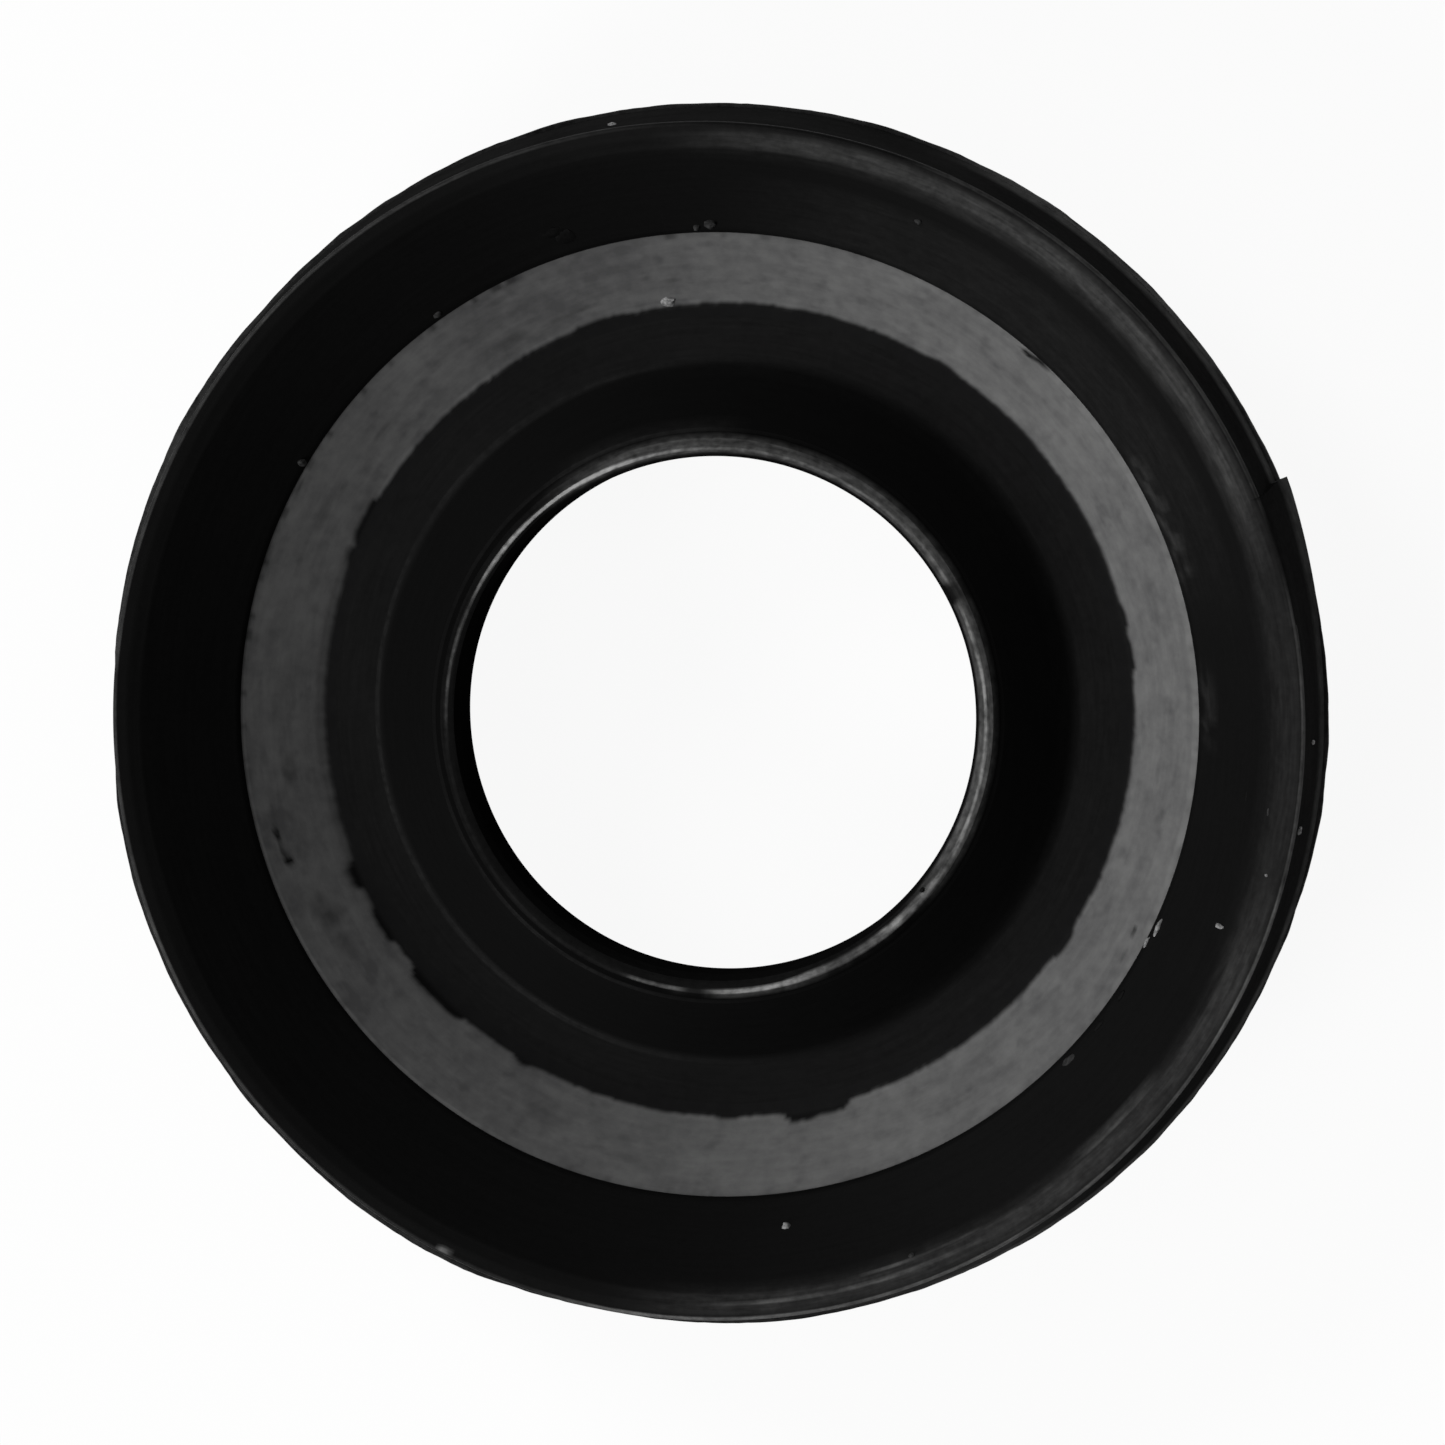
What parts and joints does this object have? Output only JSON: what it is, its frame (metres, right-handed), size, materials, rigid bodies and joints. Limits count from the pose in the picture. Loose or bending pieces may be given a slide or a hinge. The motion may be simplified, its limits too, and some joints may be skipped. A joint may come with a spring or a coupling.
{
  "type": "rubber grommet",
  "caption": "Round flanged rubber grommet with a dished face, a raised boss round its bore and a groove that snaps into a panel hole, used to line and protect a cable or tube passage.",
  "frame": {"origin": "centre of the foot, on the axis of the bore, in the plane that the grommet stands on", "axes": "+Z along the axis of the bore, from the foot up to the flange's rim; +X and +Y lie across it, and the tear in the rim is 22.7 degrees from +X towards +Y"},
  "size_m": [0.038, 0.038, 0.0104],
  "materials": {
    "rubber": "satin black, with a matte grey seat band and worn, scratched edges"
  },
  "bodies": {
    "root": {"grommet": "rubber"}
  },
  "joints": []
}
